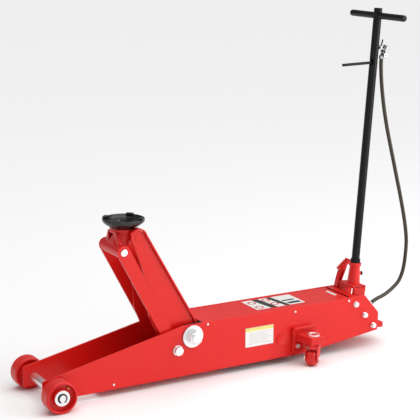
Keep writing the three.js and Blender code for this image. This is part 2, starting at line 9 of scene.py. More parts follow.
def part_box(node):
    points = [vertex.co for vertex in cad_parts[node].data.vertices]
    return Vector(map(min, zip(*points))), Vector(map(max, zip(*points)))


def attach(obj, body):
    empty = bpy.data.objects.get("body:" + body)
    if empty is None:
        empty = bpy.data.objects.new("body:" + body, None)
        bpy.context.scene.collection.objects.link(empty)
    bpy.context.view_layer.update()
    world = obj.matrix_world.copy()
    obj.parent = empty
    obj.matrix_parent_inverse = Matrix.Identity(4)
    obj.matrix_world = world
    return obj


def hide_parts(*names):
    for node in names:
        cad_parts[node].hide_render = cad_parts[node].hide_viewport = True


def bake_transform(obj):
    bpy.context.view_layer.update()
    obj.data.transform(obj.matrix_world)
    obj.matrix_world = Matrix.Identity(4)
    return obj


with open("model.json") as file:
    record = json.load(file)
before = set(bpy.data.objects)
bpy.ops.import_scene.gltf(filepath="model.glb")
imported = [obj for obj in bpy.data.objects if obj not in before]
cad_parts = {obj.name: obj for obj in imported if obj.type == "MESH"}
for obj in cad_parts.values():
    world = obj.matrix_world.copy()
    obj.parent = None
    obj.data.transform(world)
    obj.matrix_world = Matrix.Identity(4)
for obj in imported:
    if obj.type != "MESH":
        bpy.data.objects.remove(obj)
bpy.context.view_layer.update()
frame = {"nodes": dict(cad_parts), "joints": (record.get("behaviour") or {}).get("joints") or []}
joints = {joint["name"]: joint for joint in frame["joints"]}
hands = (("left", -1), ("right", 1))

mm = 0.001
axleLow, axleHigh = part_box("front_axle")
frontX = (axleLow.x + axleHigh.x) / 2  # every length below is in mm, rearward from the front axle
chassisSpace = Matrix.Translation((frontX, 0, 0)) @ Matrix.Scale(mm, 4)


def inChassis(point):
    x, y, z = point
    return Vector(((x - frontX) / mm, y / mm, z / mm))


def turnedSpace(centre, degrees, axis):
    return chassisSpace @ Matrix.Translation(centre) @ Matrix.Rotation(math.radians(degrees), 4, axis)


liftPivot = inChassis(joints["lift"]["pos_m"])
armTop = inChassis(joints["yoke_level"]["pos_m"])
barAnchor = inChassis(joints["bars"]["pos_m"])
barTop = armTop + barAnchor - liftPivot
armReach = armTop - liftPivot
armRise = math.degrees(math.atan2(armReach.z, -armReach.x))
armSpace = turnedSpace(liftPivot, 180 + armRise, "Y")  # x up the arm, z ahead of it
handlePivot = inChassis(joints["handle_tilt"]["pos_m"])
handleAxis = Vector(joints["release_twist"]["axis"])
handleLean = math.degrees(math.atan2(handleAxis.x, handleAxis.z))
handleSpace = turnedSpace(handlePivot, handleLean, "Y")
pressAxis = Vector(joints["valve_press"]["axis"])
valveLean = math.degrees(math.atan2(pressAxis.x, pressAxis.z))


# Camera
view = {
    "place": (-2.412, -4.194, 1.710),
    "aim": (0.482, 0.8479, -0.2209),
    "roll": 0.2,
    "lens": 114.36,
}
camera = bpy.data.objects.new("camera", bpy.data.cameras.new("camera"))
bpy.context.collection.objects.link(camera)
camera.data.lens = view["lens"]
camera.data.sensor_width = 36
facing = Vector(view["aim"]).to_track_quat("-Z", "Y").to_matrix().to_4x4()
roll = Matrix.Rotation(math.radians(view["roll"]), 4, "Z")
camera.matrix_world = Matrix.Translation(view["place"]) @ facing @ roll
bpy.context.scene.camera = camera
print("camera set")


# Finishes
def node(tree, kind, inputs=None, **settings):
    made = tree.nodes.new(kind)
    for key, value in settings.items():
        setattr(made, key, value)
    for key, value in (inputs or {}).items():
        if isinstance(value, bpy.types.NodeSocket):
            tree.links.new(value, made.inputs[key])
        else:
            made.inputs[key].default_value = value
    return made


def between(tree, factor, low, high):
    ramp = node(tree, "ShaderNodeMapRange", {"Value": factor, "To Min": low, "To Max": high})
    return ramp.outputs["Result"]


def finish(name, look):
    made = bpy.data.materials.new(name)
    made.use_nodes = True
    tree = made.node_tree
    tree.nodes.clear()
    place = node(tree, "ShaderNodeTexCoord").outputs["Object"]
    cloud = node(tree, "ShaderNodeTexNoise", {"Vector": place, "Scale": look["cloud"], "Detail": 4.0})
    grain = node(tree, "ShaderNodeTexNoise", {"Vector": place, "Scale": look["grain"], "Detail": 3.0})
    tint = node(tree, "ShaderNodeMix", data_type="RGBA")
    tree.links.new(cloud.outputs["Fac"], tint.inputs["Factor"])
    shade = look["shade"]
    tint.inputs["A"].default_value = (*[c * (1 - shade) for c in look["colour"]], 1)
    tint.inputs["B"].default_value = (*[min(1, c * (1 + shade)) for c in look["colour"]], 1)
    colour = tint.outputs["Result"]
    rough = between(tree, cloud.outputs["Fac"], look["rough"] - look["vary"], look["rough"] + look["vary"])
    height = grain.outputs["Fac"]
    if "specks" in look:
        specks = node(tree, "ShaderNodeTexVoronoi", {"Vector": place, "Scale": look["specks"]})
        pits = between(tree, specks.outputs["Distance"], 0.0, 1.0)
        height = node(tree, "ShaderNodeMath", {0: height, 1: pits}, operation="ADD").outputs[0]
    # Painted highlight: faces turned upwards are blended, in cloudy patches, toward a pale pink, so tops read lighter
    # as if lit from above.
    if "topHighlight" in look:
        upward = node(
            tree, "ShaderNodeSeparateXYZ", {"Vector": node(tree, "ShaderNodeNewGeometry").outputs["Normal"]}
        )
        topHighlightRamp = node(tree, "ShaderNodeMapRange", {
            "Value": upward.outputs["Z"], "From Min": 0.7, "From Max": 1.0, "To Max": look["topHighlight"],
        })
        patch = node(
            tree, "ShaderNodeMath", {0: topHighlightRamp.outputs["Result"], 1: cloud.outputs["Fac"]},
            operation="MULTIPLY"
        )
        topHighlightMix = node(tree, "ShaderNodeMix", data_type="RGBA")
        tree.links.new(patch.outputs[0], topHighlightMix.inputs["Factor"])
        tree.links.new(colour, topHighlightMix.inputs["A"])
        topHighlightMix.inputs["B"].default_value = (0.8, 0.62, 0.56, 1)
        colour = topHighlightMix.outputs["Result"]
    bump = node(
        tree, "ShaderNodeBump", {"Height": height, "Strength": look["relief"], "Distance": look["depth"]}
    )
    shader = node(tree, "ShaderNodeBsdfPrincipled", {
        "Base Color": colour,
        "Roughness": rough,
        "Normal": bump.outputs["Normal"],
        "Metallic": look["metal"],
        "Coat Weight": look["coat"],
        "Coat Roughness": 0.12,
        "Specular IOR Level": look.get("gloss", 0.5),
    })
    output = node(tree, "ShaderNodeOutputMaterial")
    tree.links.new(shader.outputs["BSDF"], output.inputs["Surface"])
    return made


# In the enamel look, the last entry sets the strength of a painted highlight on upward-facing faces.
enamelLook = {
    "colour": (0.72, 0.011, 0.008), "shade": 0.06, "cloud": 9.0, "grain": 950.0, "rough": 0.3, "vary": 0.05,
    "relief": 0.05, "depth": 0.0006, "metal": 0.0, "coat": 0.12, "gloss": 0.32, "topHighlight": 0.04,
}
castLook = dict(
    enamelLook, colour=(0.66, 0.011, 0.009), grain=420.0, rough=0.38, relief=0.14, depth=0.0009, coat=0.1
)
powderLook = {
    "colour": (0.006, 0.006, 0.006), "shade": 0.2, "cloud": 14.0, "grain": 1400.0, "rough": 0.36,
    "vary": 0.07,
    "relief": 0.1, "depth": 0.0005, "metal": 0.0, "coat": 0.0, "gloss": 0.22,
}
castBlackLook = dict(powderLook, rough=0.24, gloss=0.55, relief=0.14)
zincLook = {
    "colour": (0.88, 0.89, 0.9), "shade": 0.08, "cloud": 55.0, "grain": 900.0, "rough": 0.36, "vary": 0.08,
    "relief": 0.05, "depth": 0.0004, "metal": 1.0, "coat": 0.0,
}
steelLook = dict(zincLook, colour=(0.2, 0.19, 0.18), shade=0.12)
chromeLook = dict(zincLook, colour=(0.6, 0.61, 0.62), shade=0.03, rough=0.18, vary=0.05, relief=0.02)
hoseLook = {
    "colour": (0.05, 0.042, 0.026), "shade": 0.16, "cloud": 26.0, "grain": 1600.0, "rough": 0.44,
    "vary": 0.07,
    "relief": 0.12, "depth": 0.0004, "metal": 0.0, "coat": 0.0, "gloss": 0.3,
}
brassLook = dict(zincLook, colour=(0.72, 0.5, 0.18), rough=0.3)
vinylLook = {
    "colour": (0.82, 0.82, 0.8), "shade": 0.03, "cloud": 30.0, "grain": 500.0, "rough": 0.35, "vary": 0.05,
    "relief": 0.04, "depth": 0.0002, "metal": 0.0, "coat": 0.2,
}

redEnamel = finish("redEnamel", enamelLook)
castEnamel = finish("castEnamel", castLook)
blackPowder = finish("blackPowder", powderLook)
castBlack = finish("castBlack", castBlackLook)
zincPlate = finish("zincPlate", zincLook)
oiledSteel = finish("oiledSteel", steelLook)
chromePlate = finish("chromePlate", chromeLook)
hoseRubber = finish("hoseRubber", hoseLook)
brassFitting = finish("brassFitting", brassLook)
whiteVinyl = finish("whiteVinyl", vinylLook)
yellowVinyl = finish("yellowVinyl", dict(vinylLook, colour=(0.8, 0.72, 0.2)))
greyVinyl = finish("greyVinyl", dict(vinylLook, colour=(0.45, 0.46, 0.47)))
blackVinyl = finish("blackVinyl", dict(vinylLook, colour=(0.02, 0.02, 0.02)))
redVinyl = finish("redVinyl", dict(vinylLook, colour=(0.62, 0.03, 0.03)))
print("finishes made")


# Shapes, each a bmesh in millimetres
def soften(shape, width, segments=2, limit=32):
    sharp = [e for e in shape.edges if len(e.link_faces) == 2 and e.calc_face_angle() > math.radians(limit)]
    if width > 0 and sharp:
        bmesh.ops.bevel(
            shape, geom=sharp, offset=width, offset_type="OFFSET", segments=segments,
            profile=0.5, affect="EDGES", clamp_overlap=True,
        )
    return shape


def aligned(shape, axis):
    turns = {
        "z": Matrix.Identity(4), "x": Matrix.Rotation(math.pi / 2, 4, "Y"),
        "y": Matrix.Rotation(-math.pi / 2, 4, "X")
    }
    bmesh.ops.transform(shape, matrix=turns[axis], verts=shape.verts)
    return shape


def moved(shape, x, y, z):
    bmesh.ops.translate(shape, vec=(x, y, z), verts=shape.verts)
    return shape


def turned(shape, degrees, axis):
    bmesh.ops.transform(shape, matrix=Matrix.Rotation(math.radians(degrees), 4, axis), verts=shape.verts)
    return shape


# A profile of (radius, height) points turned round an axis
def revolved(profile, axis="z", steps=64, edge=0.0):
    shape = bmesh.new()
    rings = []
    for radius, height in profile:
        if radius < 1e-6:
            rings.append([shape.verts.new((0, 0, height))])
            continue
        rings.append([
            shape.verts.new((
                radius * math.cos(2 * math.pi * s / steps), radius * math.sin(2 * math.pi * s / steps),
                height,
            ))
            for s in range(steps)
        ])
    for low, high in zip(rings, rings[1:]):
        for s in range(steps):
            corners = [
                low[s % len(low)], low[(s + 1) % len(low)], high[(s + 1) % len(high)], high[s % len(high)]
            ]
            distinct = list(dict.fromkeys(corners))
            if len(distinct) > 2:
                shape.faces.new(distinct)
    bmesh.ops.remove_doubles(shape, verts=shape.verts, dist=1e-5)
    bmesh.ops.recalc_face_normals(shape, faces=shape.faces)
    soften(shape, edge)
    return aligned(shape, axis)


def rod(radius, low, high, axis="z", edge=0.8, steps=48, bore=0.0):
    profile = [(bore, low), (radius, low), (radius, high), (bore, high)]
    if bore > 0:
        profile.append((bore, low))
    return revolved(profile, axis, steps, edge)


def rounded(points, radii, steps=6):
    outline = []
    count = len(points)
    for i, point in enumerate(points):
        here = Vector(point)
        before = Vector(points[i - 1]) - here
        after = Vector(points[(i + 1) % count]) - here
        radius = radii[i] if isinstance(radii, (list, tuple)) else radii
        half = before.angle(after) / 2
        reach = min(radius / math.tan(half), before.length * 0.45, after.length * 0.45)
        if radius <= 0 or math.degrees(half) > 88:
            outline.append(here)
            continue
        start = here + before.normalized() * reach
        end = here + after.normalized() * reach
        for s in range(steps + 1):
            t = s / steps
            outline.append(start * (1 - t) ** 2 + here * 2 * t * (1 - t) + end * t * t)
    return outline


def arc(x, z, radius, fromAngle, toAngle, steps=16):
    angles = [math.radians(fromAngle + (toAngle - fromAngle) * s / steps) for s in range(steps + 1)]
    return [(x + radius * math.cos(a), z + radius * math.sin(a)) for a in angles]


# An outline thickened along an axis: (x, z) points along y, (y, z) along x, or (x, y) along z
def plate(outline, low, high, axis="y", edge=0.8, segments=2):
    shape = bmesh.new()
    build = {
        "y": lambda p, h: (p[0], h, p[1]),
        "x": lambda p, h: (h, p[0], p[1]),
        "z": lambda p, h: (p[0], p[1], h),
    }[axis]
    face = shape.faces.new([shape.verts.new(build(p, low)) for p in outline])
    top = bmesh.ops.extrude_face_region(shape, geom=[face])
    shift = Vector(build((0, 0), high - low))
    bmesh.ops.translate(shape, vec=shift, verts=[v for v in top["geom"] if isinstance(v, bmesh.types.BMVert)])
    bmesh.ops.recalc_face_normals(shape, faces=shape.faces)
    return soften(shape, edge, segments)


def block(x0, x1, y0, y1, z0, z1, edge=1.5, segments=3):
    return plate([(x0, z0), (x1, z0), (x1, z1), (x0, z1)], y0, y1, edge=edge, segments=segments)


def circle(x, z, radius, y, steps=40):
    return [(x + radius * math.cos(2 * math.pi * s / steps), y, z + radius * math.sin(2 * math.pi * s / steps))
            for s in range(steps)]


def corners(x0, x1, y0, y1, z0, z1):
    return [(x, y, z) for x in (x0, x1) for y in (y0, y1) for z in (z0, z1)]


def wrapped(points, edge=1.2, segments=2):
    shape = bmesh.new()
    for point in points:
        shape.verts.new(point)
    found = bmesh.ops.convex_hull(shape, input=shape.verts)
    spare = [v for v in found["geom_interior"] if isinstance(v, bmesh.types.BMVert)]
    bmesh.ops.delete(shape, geom=spare, context="VERTS")
    bmesh.ops.dissolve_limit(shape, angle_limit=math.radians(2), verts=shape.verts, edges=shape.edges)
    bmesh.ops.recalc_face_normals(shape, faces=shape.faces)
    return soften(shape, edge, segments)


# Hexagon head or nut with a turned chamfer on its outer face
def hexHead(radius, low, high, axis="y", bore=0.0, steps=60):
    shape = bmesh.new()
    inner = radius * math.cos(math.pi / 6)
    rings = [[], [], [], []]
    outward = 1 if high > low else -1
    for s in range(steps):
        a = 2 * math.pi * s / steps
        side = inner / math.cos((a + math.pi / 6) % (math.pi / 3) - math.pi / 6)
        drop = (side - inner) * 0.55 * outward
        for ring, (r, h) in zip(
            rings, ((side, low), (side, high - drop), (inner * 0.96, high), (bore, high))
        ):
            ring.append(shape.verts.new((r * math.cos(a), r * math.sin(a), h)))
    for one, two in zip(rings, rings[1:]):
        for s in range(steps):
            shape.faces.new([one[s], one[(s + 1) % steps], two[(s + 1) % steps], two[s]])
    floor = [shape.verts.new((bore * math.cos(2 * math.pi * s / steps), bore * math.sin(2 * math.pi * s / steps), low))
             for s in range(steps)]
    for one, two in ((rings[3], floor), (floor, rings[0])):
        for s in range(steps):
            shape.faces.new([one[s], one[(s + 1) % steps], two[(s + 1) % steps], two[s]])
    bmesh.ops.remove_doubles(shape, verts=shape.verts, dist=1e-4)
    bmesh.ops.recalc_face_normals(shape, faces=shape.faces)
    return aligned(shape, axis)


def smoothLine(points, perSpan=8):
    points = [Vector(p) for p in points]
    ends = [2 * points[0] - points[1], *points, 2 * points[-1] - points[-2]]
    line = []
    for a, b, c, d in zip(ends, ends[1:], ends[2:], ends[3:]):
        for s in range(perSpan):
            t = s / perSpan
            line.append(
                0.5 * (
                    2 * b + (c - a) * t + (2 * a - 5 * b + 4 * c - d) * t ** 2 + (3 * b - a - 3 * c + d) * t ** 3
                )
            )
    return [*line, points[-1]]


# A round section swept along a line; the radius may change from point to point
def swept(line, radius, sides=20):
    shape = bmesh.new()
    line = [Vector(p) for p in line]
    heading = (line[1] - line[0]).normalized()
    across = heading.orthogonal().normalized()
    rings = []
    for i, point in enumerate(line):
        after = line[min(i + 1, len(line) - 1)] - line[max(i - 1, 0)]
        across = (across - across.project(after)).normalized()
        upward = after.normalized().cross(across)
        size = radius(i) if callable(radius) else radius
        rings.append([
            shape.verts.new(point + size * (across * math.cos(a) + upward * math.sin(a)))
            for a in (2 * math.pi * s / sides for s in range(sides))
        ])
    for one, two in zip(rings, rings[1:]):
        for s in range(sides):
            shape.faces.new([one[s], one[(s + 1) % sides], two[(s + 1) % sides], two[s]])
    shape.faces.new(list(reversed(rings[0])))
    shape.faces.new(rings[-1])
    return shape


# Weld bead: a thin ripple along a line
def weld(line, radius=2.6):
    points = smoothLine(line, 10)
    spread = [points[0]]
    for point in points[1:]:
        steps = max(1, round((point - spread[-1]).length / 1.6))
        start = spread[-1]
        spread.extend(start.lerp(point, (s + 1) / steps) for s in range(steps))
    return swept(spread, lambda i: radius * (0.85 + 0.15 * math.sin(i * 1.9)), 8)


def ringWeld(x, z, radius, y, size=2.4):
    loop = [
        (x + radius * math.cos(math.radians(a)), y, z + radius * math.sin(math.radians(a)))
        for a in range(0, 361, 20)
    ]
    return weld(loop, size)


def carved(shape, *cutters):
    def shown(source):
        mesh = bpy.data.meshes.new("rough")
        source.to_mesh(mesh)
        source.free()
        made = bpy.data.objects.new("rough", mesh)
        bpy.context.collection.objects.link(made)
        return made

    base = shown(shape)
    tools = [shown(cutter) for cutter in cutters]
    for tool in tools:
        step = base.modifiers.new("cut", "BOOLEAN")
        step.operation = "DIFFERENCE"
        step.solver = "EXACT"
        step.object = tool
    bpy.context.view_layer.update()
    cutMesh = bpy.data.meshes.new_from_object(base.evaluated_get(bpy.context.evaluated_depsgraph_get()))
    result = bmesh.new()
    result.from_mesh(cutMesh)
    for spent in (base, *tools):
        old = spent.data
        bpy.data.objects.remove(spent)
        bpy.data.meshes.remove(old)
    bpy.data.meshes.remove(cutMesh)
    bmesh.ops.dissolve_limit(result, angle_limit=math.radians(1), verts=result.verts, edges=result.edges)
    return result


# Joins shapes into one object that rides on a body, in place of the named CAD nodes
def piece(name, shapes, material, body, space=chassisSpace, stands=()):
    mesh = bpy.data.meshes.new(name)
    joined = bmesh.new()
    for shape in shapes:
        part = bpy.data.meshes.new("part")
        shape.to_mesh(part)
        shape.free()
        joined.from_mesh(part)
        bpy.data.meshes.remove(part)
    bmesh.ops.transform(joined, matrix=space, verts=joined.verts)
    bmesh.ops.recalc_face_normals(joined, faces=joined.faces)
    joined.to_mesh(mesh)
    joined.free()
    mesh.shade_smooth()
    mesh.set_sharp_from_angle(angle=math.radians(48))
    mesh.materials.append(material)
    made = bpy.data.objects.new(name, mesh)
    bpy.context.collection.objects.link(made)
    normals = made.modifiers.new("flatFaces", "WEIGHTED_NORMAL")
    normals.keep_sharp = True
    if body:
        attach(made, body)
    if stands:
        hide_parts(*stands)
    return made


# Air hose, from the fitting on the pump block to the hand valve
hoseShape = {
    "diameter": 15.0,
    "route": [
        (1383, -64.6, 173.2), (1398, -63, 180.3), (1415, -61, 186), (1437, -58.5, 191), (1463, -54, 197.5),
        (1490, -49, 208.5), (1514, -45, 221.5), (1535, -41, 236.5), (1552, -37, 259.5), (1564, -34, 289),
        (1573, -31, 333), (1578, -28, 399), (1571, -25, 466), (1558, -22, 533),
        (1542, -20, 600), (1525, -18, 666), (1508, -16, 733), (1491, -14, 799), (1475, -12, 864),
        (1461, -11, 928),
        (1450, -10, 992), (1442, -9, 1055), (1438.5, -8, 1112), (1438.8, -8, 1139.4),
    ],
}
hoseLine = smoothLine(hoseShape["route"], 6)
hose = piece(
    "airHose", [swept(hoseLine, hoseShape["diameter"] / 2, 24)], hoseRubber, None, stands=["air_hose"]
)
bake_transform(hose)


# Chassis side plates with their axle bosses and cover screws
sidePlate = {
    "outline": [
        (-41, 23.5), (1060, 26.5), (1396, 68), (1400, 84), (1400, 140.4), (1333, 219), (515, 219), (-41, 99.7)
    ],
    "corner": [7, 60, 4, 4, 6, 6, 22, 7],
    "inner": 86.7,
    "outer": 92.7,
    "edge": 0.9,
    "bossRadius": 21,
    "bossEnd": 114.6,
    "screws": [(619, 209), (1005, 200), (1255, 207), (233, 42)],
    "screwRadius": 4.6,
}
plateOutline = rounded(sidePlate["outline"], sidePlate["corner"])
for hand, side in hands:
    inner, outer = side * sidePlate["inner"], side * sidePlate["outer"]
    boss = revolved([
        (13.0, outer - side), (sidePlate["bossRadius"], outer - side),
        (sidePlate["bossRadius"], side * sidePlate["bossEnd"]),
        (13.0, side * sidePlate["bossEnd"]), (13.0, outer - side),
    ], "y", 56, 1.2)
    panel = plate(plateOutline, min(inner, outer), max(inner, outer), edge=sidePlate["edge"])
    seam = ringWeld(0, 58.5, sidePlate["bossRadius"] + 0.8, outer + side * 0.6, 3)
    piece(
        f"sidePlate.{hand}", [panel, moved(boss, 0, 0, 58.5), seam], redEnamel, "chassis",
        stands=[f"side_plate_{hand}"],
    )
    screws = []
    for x, z in sidePlate["screws"]:
        dome = revolved([
            (0, outer), (sidePlate["screwRadius"], outer), (sidePlate["screwRadius"], outer + side * 1.4),
            (sidePlate["screwRadius"] * 0.7, outer + side * 2.8), (2.2, outer + side * 3.0),
            (2.0, outer + side * 1.6),
            (0, outer + side * 1.6),
        ], "y", 28)
        screws.append(moved(dome, x, 0, z))
    piece(f"coverScrews.{hand}", screws, zincPlate, "chassis")

# Folded top cover, rear deck and belly plate
cover = {"half": 86.4, "top": 218, "sheet": 3, "bend": 5, "front": 601, "rear": 1259, "depth": 20}


def foldedProfile(depth):
    half, top, sheet = cover["half"], cover["top"], cover["sheet"]
    points = [
        (-half, top - depth), (-half, top), (half, top), (half, top - depth),
        (half - sheet, top - depth), (half - sheet, top - sheet), (sheet - half, top - sheet),
        (sheet - half, top - depth),
    ]
    bend = cover["bend"]
    return rounded(points, [0, bend, bend, 0, 0, bend - sheet, bend - sheet, 0])


piece(
    "topCover", [plate(foldedProfile(cover["depth"]), cover["front"], cover["rear"], "x", 0.7)], redEnamel,
    "chassis",
    stands=["top_cover"],
)
deckSheet = plate(foldedProfile(16), 1262.3, 1300, "x", 0.7)
deckNotch = block(1255, 1270, -78, 78, 200, 230, 0)
piece("rearDeck", [carved(deckSheet, deckNotch)], redEnamel, "chassis", stands=["rear_deck"])
piece("bellyPlate", [block(180, 700, -86.4, 86.4, 26, 31, 1)], redEnamel, "chassis", stands=["belly_plate"])
# Painted shade: black strips laid along the top edges of the open stretch in front of the top cover and across the
# cover's front edge, standing in for the dark gap where the arm enters the chassis.
gapShade = {"start": 519, "end": 600, "radius": 3.4}
gapShadeStrips = [swept([(gapShade["start"], y, 218.6), (gapShade["end"], y, 218.6)], 2.4, 12) for y in (-83.5, 83.5)]
piece(
    "coverGapShade", [*gapShadeStrips, swept([(598.5, -80, 215), (598.5, 80, 215)], gapShade["radius"], 14)], blackPowder,
    "chassis"
)
print("chassis plates made")

# Stickers: plain generic panels
sideLabel = {"x": (783, 905), "z": (92, 165), "band": 13, "lines": 7}
for hand, side in hands:
    skin = side * sidePlate["outer"]
    x0, x1 = sideLabel["x"]
    z0, z1 = sideLabel["z"]

    def sticker(name, ax, bx, az, bz, lift, material):
        lo, hi = sorted((skin - side * 0.2, skin + side * lift))
        outline = rounded([(ax, az), (bx, az), (bx, bz), (ax, bz)], 2.2)
        return piece(f"{name}.{hand}", [plate(outline, lo, hi, edge=0.05, segments=1)], material, "chassis")

    sticker("sideLabelBorder", x0 - 1.6, x1 + 1.6, z0 - 1.6, z1 + 1.6, 0.25, greyVinyl)
    sticker("sideLabel", x0, x1, z0, z1, 0.4, whiteVinyl)
    sticker("sideLabelBand", x0, x1, z1 - sideLabel["band"], z1, 0.55, yellowVinyl)
    bars = []
    lo, hi = sorted((skin, skin + side * 0.5))
    for line in range(sideLabel["lines"]):
        z = z1 - sideLabel["band"] - 8 - line * 7
        bars.append(block(x0 + 14, x1 - 8 - 9 * (line % 3), lo, hi, z - 0.7, z + 0.7, 0))
    piece(f"sideLabelLines.{hand}", bars, greyVinyl, "chassis")

topLabel = {"x": (858, 1077), "y": (-52, 68), "z": 218}
x0, x1 = topLabel["x"]
y0, y1 = topLabel["y"]
deck = topLabel["z"]


def topPatch(outline, lift, radius=3):
    return plate(rounded(outline, radius), deck - 0.2, deck + lift, "z", 0.05, 1)


piece("topLabel", [topPatch([(x0, y0), (x1, y0), (x1, y1), (x0, y1)], 0.3)], whiteVinyl, "chassis")
blackShapes = [
    topPatch([(x0 + 62, y0), (x0 + 92, y0), (x0 + 74, y1), (x0 + 44, y1)], 0.45),
    topPatch([(x0 + 128, y0), (x0 + 150, y0), (x0 + 132, y1), (x0 + 110, y1)], 0.45),
    topPatch([(x0 + 156, y0 + 12), (x1 - 8, y0 + 12), (x1 - 12, y0 + 34), (x0 + 152, y0 + 34)], 0.45),
    topPatch([(x0 + 150, y0 + 50), (x1 - 14, y0 + 50), (x1 - 18, y0 + 64), (x0 + 147, y0 + 64)], 0.45),
]
piece("topLabelBlack", blackShapes, blackVinyl, "chassis")
redShapes = [
    moved(
        revolved(
            [(11, deck - 0.2), (17, deck - 0.2), (17, deck + 0.5), (11, deck + 0.5), (11, deck - 0.2)], "z",
            40
        ),
        x, y, 0
    )
    for x, y in ((x0 + 26, y0 + 26), (x0 + 28, y1 - 34), (x0 + 104, y0 + 40), (x0 + 96, y1 - 26))
]
piece("topLabelRed", redShapes, redVinyl, "chassis")
piece(
    "deckLabel", [topPatch([(1229, -31), (1241, -31), (1241, 34), (1229, 34)], 0.3, 1)], whiteVinyl, "chassis"
)
print("stickers made")

# Front wheels on their axle
wheel = {
    "radius": 58.5, "width": 56, "outerFace": 172.6, "rim": 49.6, "hub": 30, "recess": 20, "bore": 12.8,
    "edge": 1.6
}
axle = {"radius": 12.5, "end": 176.6, "washer": 28, "clip": 15, "sleeve": 16}
for hand, side in hands:
    face = wheel["outerFace"]
    back = face - wheel["width"]
    profile = [
        (wheel["bore"], face - 4), (wheel["hub"] - 4, face - 4), (wheel["hub"], face - 6),
        (wheel["hub"] + 2, face - wheel["recess"]),
        (wheel["rim"] - 2, face - wheel["recess"]), (wheel["rim"], face - 1), (54, face),
        (wheel["radius"], face - 4),
        (wheel["radius"], back + 4), (54, back), (wheel["rim"], back + 1), (wheel["rim"] - 2, back + 10),
        (wheel["hub"] + 2, back + 10), (wheel["hub"], back + 1), (wheel["bore"], back + 1),
        (wheel["bore"], face - 4),
    ]
    tread = moved(revolved([(r, side * h) for r, h in profile], "y", 96, wheel["edge"]), 0, 0, 58.5)
    piece(f"frontWheel.{hand}", [tread], castEnamel, f"front_roller_{hand}", stands=[f"front_wheel_{hand}"])
    washer = rod(axle["washer"], side * (face - 3.7), side * (face - 1.2), "y", 0.5, 48, axle["radius"] + 0.3)
    piece(
        f"axleWasher.{hand}", [moved(washer, 0, 0, 58.5)], zincPlate, "chassis",
        stands=[f"axle_washer_{hand}"]
    )
    ring = [
        (
            math.cos(math.radians(a)) * axle["clip"], side * (face + 0.3),
            58.5 + math.sin(math.radians(a)) * axle["clip"]
        )
        for a in range(-55, 236, 10)
    ]
    ears = [rod(3.2, side * (face - 1), side * (face + 1.6), "y", 0.3, 16) for _ in range(2)]
    clip = swept(ring, 2.8, 10)
    ends = [moved(ear, ring[i][0], 0, ring[i][2]) for ear, i in zip(ears, (0, -1))]
    piece(f"axleClip.{hand}", [clip, *ends], blackPowder, "chassis")
    nipple = revolved([
        (0, side * 150), (4, side * 150), (4, side * 160), (2, side * 161), (2, side * 163.4),
        (3, side * 164.6), (1.4, side * 167), (0, side * 167),
    ], "y", 24)
    piece(
        f"wheelGreaseNipple.{hand}", [moved(nipple, 28, 0, 58.5 + 30)], brassFitting, f"front_roller_{hand}"
    )
shaft = revolved([
    (0, -axle["end"]), (11, -axle["end"]), (axle["radius"], 1.5 - axle["end"]),
    (axle["radius"], axle["end"] - 1.5), (11, axle["end"]), (0, axle["end"]),
], "y", 56, 0.3)
sleeve = rod(axle["sleeve"], -86.4, 86.4, "y", 1, 56)
piece(
    "frontAxle", [moved(shaft, 0, 0, 58.5), moved(sleeve, 0, 0, 58.5)], zincPlate, "chassis",
    stands=["front_axle"]
)
print("front wheels made")

# Main pivot shaft with thick washers and hexagon nuts
pivotShaft = {"radius": 20, "end": 129.7, "washer": 41.9, "washerFace": 99.7, "nut": 28, "nutFace": 124.7}
end = pivotShaft["end"]
endFace = [
    (0, 3.5), (3.6, 3.5), (4.2, 0.4), (11.6, 0.4), (12.4, 1.6), (13.6, 1.6), (14.4, 0), (17.6, 0), (20, 2.4)
]
halfShaft = [(r, end - h) for r, h in endFace]
threads = [(r, h) for i in range(3) for r, h in ((20, end - 3.4 - i), (19.4, end - 3.9 - i))]
profile = [*halfShaft, *threads]
whole = [*profile, *[(r, -h) for r, h in reversed(profile)]]
shaft = moved(revolved(whole, "y", 64), liftPivot.x, 0, liftPivot.z)
piece("mainShaft", [shaft], zincPlate, "chassis", stands=["main_shaft"])
for hand, side in hands:
    washer = rod(pivotShaft["washer"], side * 93, side * pivotShaft["washerFace"], "y", 1.0, 72, 20.3)
    piece(
        f"shaftWasher.{hand}", [moved(washer, liftPivot.x, 0, liftPivot.z)], zincPlate, "chassis",
        stands=[f"shaft_washer_{hand}"],
    )
    nut = turned(hexHead(pivotShaft["nut"], side * 100, side * pivotShaft["nutFace"], "y", 20.3), 11, "Y")
    piece(
        f"shaftNut.{hand}", [moved(nut, liftPivot.x, 0, liftPivot.z)], zincPlate, "chassis",
        stands=[f"shaft_nut_{hand}"],
    )

# Levelling bars and their anchor bolts
bar = {"inner": 69.7, "outer": 79.7, "radius": 25, "edge": 1.6}
for hand, side in hands:
    low, high = sorted((side * bar["inner"], side * bar["outer"]))
    ends = [
        *circle(barAnchor.x, barAnchor.z, bar["radius"], low), *circle(barTop.x, barTop.z, bar["radius"], low)
    ]
    ends += [(x, high, z) for x, y, z in ends]
    piece(
        f"levellingBar.{hand}", [wrapped(ends, bar["edge"], 3)], redEnamel, "levelling_bars",
        stands=[f"levelling_bar_{hand}"],
    )
    head = turned(hexHead(18, side * 95.5, side * 109.7, "y"), 20, "Y")
    collar = rod(19.5, side * 93, side * 95.6, "y", 0.6, 48)
    shank = rod(9, side * 70.7, side * 94, "y", 0.5, 32)
    bolt = [moved(part, barAnchor.x, 0, barAnchor.z) for part in (head, collar, shank)]
    piece(f"barAnchorBolt.{hand}", bolt, zincPlate, "chassis", stands=[f"bar_anchor_bolt_{hand}"])
print("shaft and bars made")

